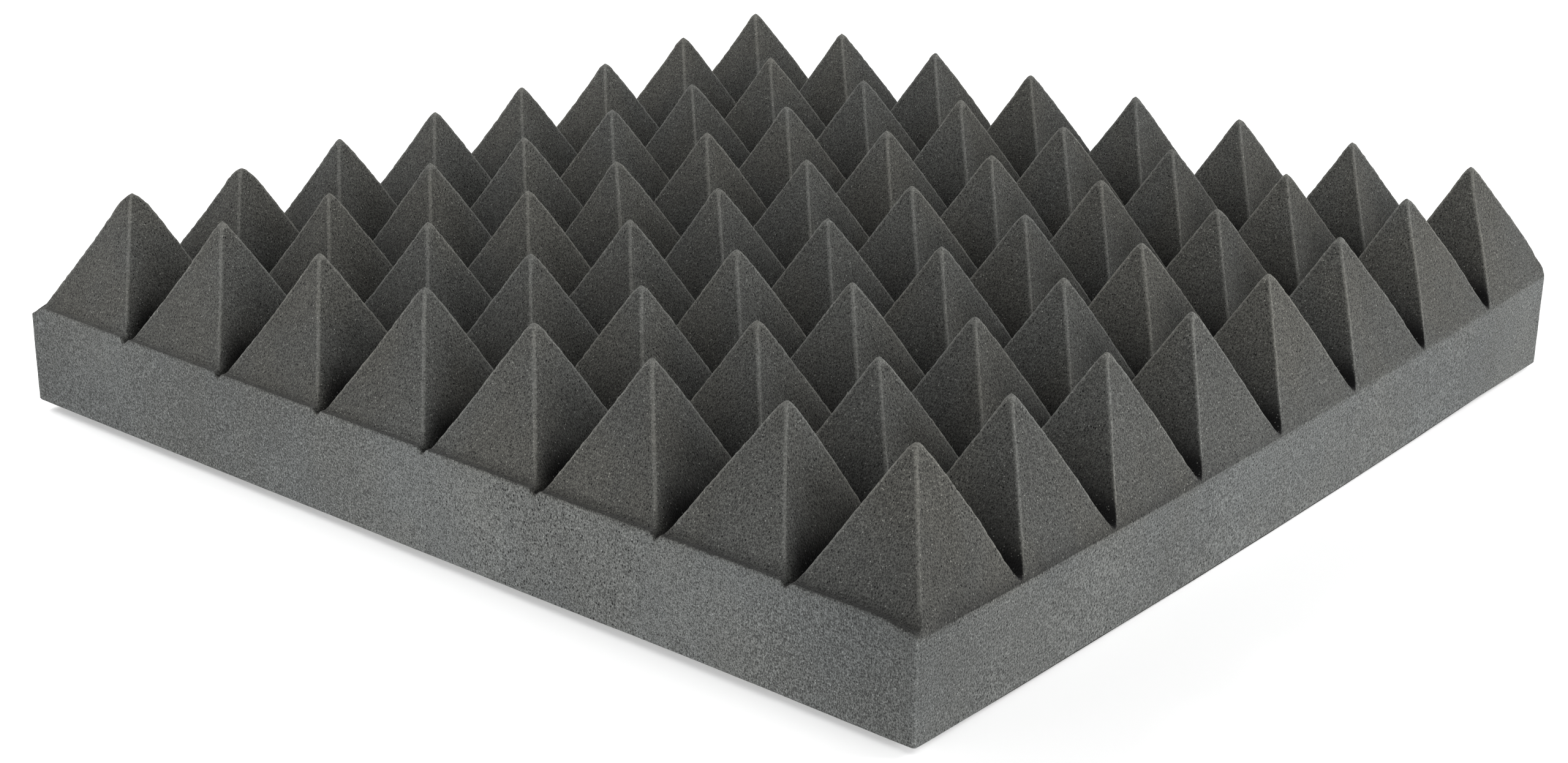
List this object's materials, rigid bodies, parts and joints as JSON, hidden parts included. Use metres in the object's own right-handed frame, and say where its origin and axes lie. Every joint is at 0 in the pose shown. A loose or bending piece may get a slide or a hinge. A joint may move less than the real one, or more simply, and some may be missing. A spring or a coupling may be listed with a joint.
{
  "type": "acoustic foam panel",
  "caption": "Square sound-absorbing foam panel, flat underneath, with rows of tapered pyramids standing on a thick base slab.",
  "frame": {"origin": "middle of the flat underside", "axes": "+Z from the underside towards the pyramid tips; X and Y along the two sets of grooves, parallel to the panel's sides"},
  "size_m": [0.5, 0.5, 0.1],
  "materials": {
    "foam": "open-cell foam, matt charcoal"
  },
  "bodies": {
    "root": {"base_slab": "foam", "pyramid_row_1": "foam", "pyramid_row_2": "foam", "pyramid_row_3": "foam", "pyramid_row_4": "foam", "pyramid_row_5": "foam", "pyramid_row_6": "foam", "pyramid_row_7": "foam", "pyramid_row_8": "foam"}
  },
  "joints": []
}
